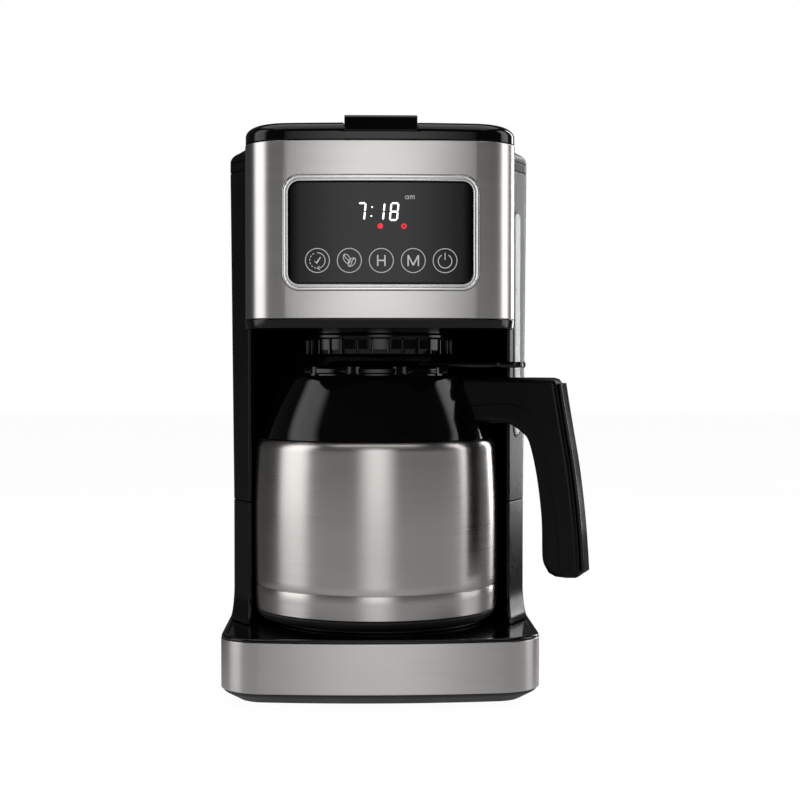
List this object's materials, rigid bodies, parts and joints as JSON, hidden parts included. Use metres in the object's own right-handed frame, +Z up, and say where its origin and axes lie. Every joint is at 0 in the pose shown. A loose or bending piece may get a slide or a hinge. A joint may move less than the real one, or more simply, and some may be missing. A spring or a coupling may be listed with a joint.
{
  "type": "drip coffee maker",
  "caption": "Drip coffee maker with a bowed touch-panel head over an open bay, rear water tower, hinged top lid and a steel thermal carafe with a thumb-lever lid.",
  "frame": {"origin": "on the table, on the machine's centre plane, midway between the base's front and back", "axes": "+Z up, -Y towards the user, +X to the user's right"},
  "size_m": [0.2253, 0.2511, 0.349],
  "materials": {
    "brushed_steel": "horizontally brushed stainless steel",
    "bright_metal": "satin chrome",
    "aluminium": "cast",
    "fastener": "plain steel",
    "gloss_black": "polished black",
    "satin_black": "satin black",
    "matte_black": "fine texture",
    "black_glass": "polished, back-printed black",
    "clear_plastic": "translucent",
    "rubber": "matt",
    "silicone": "translucent white",
    "circuit_board": "solder mask"
  },
  "bodies": {
    "machine": {"base_pan": "matte_black", "foot_front_left": "rubber", "foot_front_right": "rubber", "foot_rear_left": "rubber", "foot_rear_right": "rubber", "base_screw_front_left": "fastener", "base_screw_front_right": "fastener", "base_screw_rear_left": "fastener", "base_screw_rear_right": "fastener", "base_band": "brushed_steel", "base_deck": "gloss_black", "cable_gland": "rubber", "carafe_rest": "matte_black", "power_board": "circuit_board", "tower_lower": "satin_black", "tower_upper": "satin_black", "water_window": "clear_plastic", "water_tank": "clear_plastic", "tank_rim": "satin_black", "tower_cap": "satin_black", "tank_valve": "silicone", "heater": "aluminium", "cold_hose": "silicone", "riser_tube": "silicone", "thermostat": "bright_metal", "thermal_fuse": "bright_metal", "head_housing": "satin_black", "head_panel": "brushed_steel", "head_lip": "gloss_black", "display_bezel": "bright_metal", "display_glass": "black_glass", "display_board": "circuit_board", "lid_hinge_pin": "fastener"},
    "lid": {"top_lid": "gloss_black", "lid_tab": "gloss_black", "shower_head": "satin_black"},
    "funnel": {"brew_funnel": "gloss_black", "drip_spring": "bright_metal"},
    "drip_stop": {"drip_plunger": "satin_black"},
    "filter": {"mesh_filter": "matte_black"},
    "carafe": {"carafe_shell": "brushed_steel", "carafe_liner": "brushed_steel", "carafe_base": "matte_black", "carafe_collar": "gloss_black", "carafe_handle": "satin_black", "handle_strip": "gloss_black", "handle_screw": "fastener"},
    "carafe_top": {"carafe_lid": "gloss_black", "lid_gasket": "silicone", "lever_pin": "fastener", "lever_spring": "bright_metal"},
    "lever": {"thumb_lever": "gloss_black"},
    "valve": {"pour_valve": "silicone"}
  },
  "joints": [
    {"name": "lid_hinge", "type": "hinge", "parent": "machine", "child": "lid", "pos_m": [0, 0.104, 0.3395], "axis": [-1, 0, 0], "range_deg": [0, 85]},
    {"name": "funnel_lift", "type": "slide", "parent": "machine", "child": "funnel", "axis": [0, 0, 1], "range_m": [0, 0.003]},
    {"name": "filter_lift", "type": "slide", "parent": "funnel", "child": "filter", "axis": [0, 0, 1], "range_m": [0, 0.003]},
    {"name": "drip_stop_lift", "type": "slide", "parent": "funnel", "child": "drip_stop", "axis": [0, 0, 1], "range_m": [0, 0.004], "stiffness_N_per_m": 60, "springref_m": -0.004, "deforming": ["drip_spring"]},
    {"name": "carafe_slide", "type": "slide", "parent": "machine", "child": "carafe", "axis": [0, -1, 0], "range_m": [0, 0.26]},
    {"name": "carafe_lid_turn", "type": "hinge", "parent": "carafe", "child": "carafe_top", "pos_m": [-0.002, -0.035, 0.19], "axis": [0, 0, -1], "range_deg": [0, 45]},
    {"name": "lever_press", "type": "hinge", "parent": "carafe_top", "child": "lever", "pos_m": [0.02082, -0.04242, 0.20205], "axis": [0.309, 0.9511, 0], "range_deg": [0, 4], "stiffness_Nm_per_rad": 0.8, "springref_deg": -5.73},
    {"name": "valve_lift", "type": "slide", "parent": "carafe_top", "child": "valve", "axis": [0, 0, 1], "range_m": [0, 0.00168], "deforming": ["lever_spring"]}
  ],
  "couplings": [
    {"joint": "valve_lift", "follows": "lever_press", "m_per_rad": 0.024}
  ]
}
